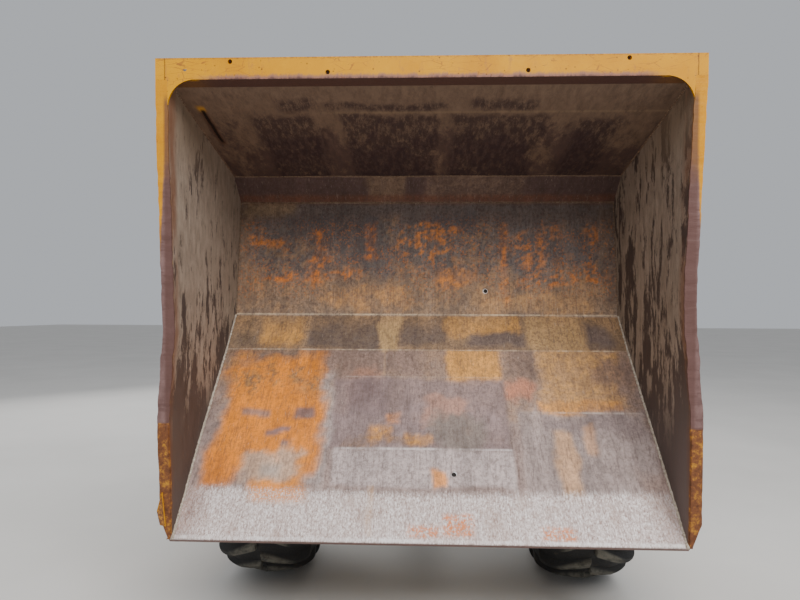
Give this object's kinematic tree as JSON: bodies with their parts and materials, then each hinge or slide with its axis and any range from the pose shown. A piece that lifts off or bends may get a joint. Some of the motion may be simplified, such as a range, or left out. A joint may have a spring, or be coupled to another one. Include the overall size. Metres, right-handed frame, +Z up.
{
  "type": "site dumper",
  "caption": "Articulated site dumper with a forward-tipping skip, lugged tyres, a folding roll hoop and a rear engine under a lifting bonnet.",
  "frame": {"origin": "on the ground under the middle of the box around the whole machine", "axes": "+Z up, -Y towards the skip's lip, +X to the machine's left"},
  "size_m": [2.432, 4.6361, 3.1],
  "materials": {
    "yellow_paint": "worn satin paint, rusty where it is rubbed",
    "worn_steel": "scoured by loads, rust brown",
    "dark_paint": "dusty satin paint",
    "bare_steel": "dull bare steel",
    "iron": "painted casting",
    "fins": "dusty fins",
    "rod_chrome": "polished",
    "tyre_rubber": "black rubber with dusty lugs",
    "black_cover": "matt black",
    "amber_lens": "clear amber",
    "clear_lens": "clear lens in a black shell"
  },
  "bodies": {
    "rear_frame": {"rear_chassis": "dark_paint", "rear_axle": "dark_paint", "centre_pin": "bare_steel", "transmission": "iron", "engine_block": "iron", "radiator": "fins", "ballast": "iron", "deck": "dark_paint", "mudguard_left": "yellow_paint", "mudguard_right": "yellow_paint", "fuel_tank": "dark_paint", "hydraulic_tank": "dark_paint", "dash_console": "yellow_paint", "steering_column": "dark_paint", "seat_base": "dark_paint", "seat_cushion": "black_cover", "seat_backrest": "black_cover", "control_levers": "dark_paint", "hoop_posts": "dark_paint", "exhaust": "bare_steel", "lamps": "clear_lens", "grab_rails": "dark_paint"},
    "bonnet_lid": {"bonnet": "yellow_paint", "bonnet_grille": "black_cover"},
    "hoop": {"roll_hoop": "dark_paint", "beacon": "amber_lens"},
    "hand_wheel": {"steering_wheel": "black_cover"},
    "front_frame": {"front_chassis": "dark_paint", "front_axle": "dark_paint", "centre_pivot": "dark_paint", "skip_pivot_pin": "bare_steel"},
    "skip": {"skip_floor_sheet": "worn_steel", "skip_rear_wall": "yellow_paint", "skip_side_left": "yellow_paint", "skip_side_right": "yellow_paint", "skip_rear_rail": "yellow_paint", "skip_side_rails": "yellow_paint", "skip_lip": "worn_steel", "skip_underframe": "dark_paint"},
    "tip_barrel_left": {"tip_barrel_left": "dark_paint"},
    "tip_barrel_right": {"tip_barrel_right": "dark_paint"},
    "tip_rod_left": {"tip_rod_left": "rod_chrome"},
    "tip_rod_right": {"tip_rod_right": "rod_chrome"},
    "steer_barrel": {"steer_barrel": "dark_paint"},
    "steer_rod": {"steer_rod": "rod_chrome"},
    "wheel_front_left": {"rim_front_left": "yellow_paint", "tyre_front_left": "tyre_rubber"},
    "wheel_front_right": {"rim_front_right": "yellow_paint", "tyre_front_right": "tyre_rubber"},
    "wheel_rear_left": {"rim_rear_left": "yellow_paint", "tyre_rear_left": "tyre_rubber"},
    "wheel_rear_right": {"rim_rear_right": "yellow_paint", "tyre_rear_right": "tyre_rubber"}
  },
  "joints": [
    {"name": "articulation", "type": "hinge", "parent": "rear_frame", "child": "front_frame", "pos_m": [0, 0.118, 0.64], "axis": [0, 0, 1], "range_deg": [-33, 33]},
    {"name": "skip_tip", "type": "hinge", "parent": "front_frame", "child": "skip", "pos_m": [0, -1.282, 1], "axis": [1, 0, 0], "range_deg": [-83.2, 0]},
    {"name": "bonnet_lift", "type": "hinge", "parent": "rear_frame", "child": "bonnet_lid", "pos_m": [0, 2.231, 0.889], "axis": [-1, 0, 0], "range_deg": [0, 60]},
    {"name": "hoop_fold", "type": "hinge", "parent": "rear_frame", "child": "hoop", "pos_m": [0, 1.553, 1.8], "axis": [1, 0, 0], "range_deg": [-95, 0]},
    {"name": "hand_wheel_turn", "type": "hinge", "parent": "rear_frame", "child": "hand_wheel", "pos_m": [0, 0.85829, 1.54449], "axis": [0, 0.682, 0.7314], "continuous": true},
    {"name": "wheel_front_left_turn", "type": "hinge", "parent": "front_frame", "child": "wheel_front_left", "pos_m": [0.91, -1.182, 0.585], "axis": [1, 0, 0], "continuous": true},
    {"name": "wheel_front_right_turn", "type": "hinge", "parent": "front_frame", "child": "wheel_front_right", "pos_m": [-0.91, -1.182, 0.585], "axis": [1, 0, 0], "continuous": true},
    {"name": "wheel_rear_left_turn", "type": "hinge", "parent": "rear_frame", "child": "wheel_rear_left", "pos_m": [0.91, 1.418, 0.585], "axis": [1, 0, 0], "continuous": true},
    {"name": "wheel_rear_right_turn", "type": "hinge", "parent": "rear_frame", "child": "wheel_rear_right", "pos_m": [-0.91, 1.418, 0.585], "axis": [1, 0, 0], "continuous": true},
    {"name": "tip_barrel_left_turn", "type": "hinge", "parent": "front_frame", "child": "tip_barrel_left", "pos_m": [0.33, -1.082, 0.76], "axis": [1, 0, 0], "range_deg": [-74.03, 0]},
    {"name": "tip_rod_left_slide", "type": "slide", "parent": "tip_barrel_left", "child": "tip_rod_left", "axis": [0, -0.1013, 0.9949], "range_m": [-0.3936, 0]},
    {"name": "tip_barrel_right_turn", "type": "hinge", "parent": "front_frame", "child": "tip_barrel_right", "pos_m": [-0.33, -1.082, 0.76], "axis": [1, 0, 0], "range_deg": [-74.03, 0]},
    {"name": "tip_rod_right_slide", "type": "slide", "parent": "tip_barrel_right", "child": "tip_rod_right", "axis": [0, -0.1013, 0.9949], "range_m": [-0.3936, 0]},
    {"name": "steer_barrel_turn", "type": "hinge", "parent": "rear_frame", "child": "steer_barrel", "pos_m": [0.29, 0.458, 0.64], "axis": [0, 0, 1], "range_deg": [-16.6, 16.6]},
    {"name": "steer_rod_slide", "type": "slide", "parent": "steer_barrel", "child": "steer_rod", "axis": [0, -1, 0], "range_m": [-0.165, 0.165]}
  ],
  "couplings": [
    {"joint": "tip_barrel_left_turn", "follows": "skip_tip", "ratio": 0.88954},
    {"joint": "tip_rod_left_slide", "follows": "skip_tip", "m_per_rad": 0.27098},
    {"joint": "tip_barrel_right_turn", "follows": "skip_tip", "ratio": 0.88954},
    {"joint": "tip_rod_right_slide", "follows": "skip_tip", "m_per_rad": 0.27098},
    {"joint": "steer_barrel_turn", "follows": "articulation", "ratio": 0.5},
    {"joint": "steer_rod_slide", "follows": "articulation", "m_per_rad": -0.28601}
  ]
}
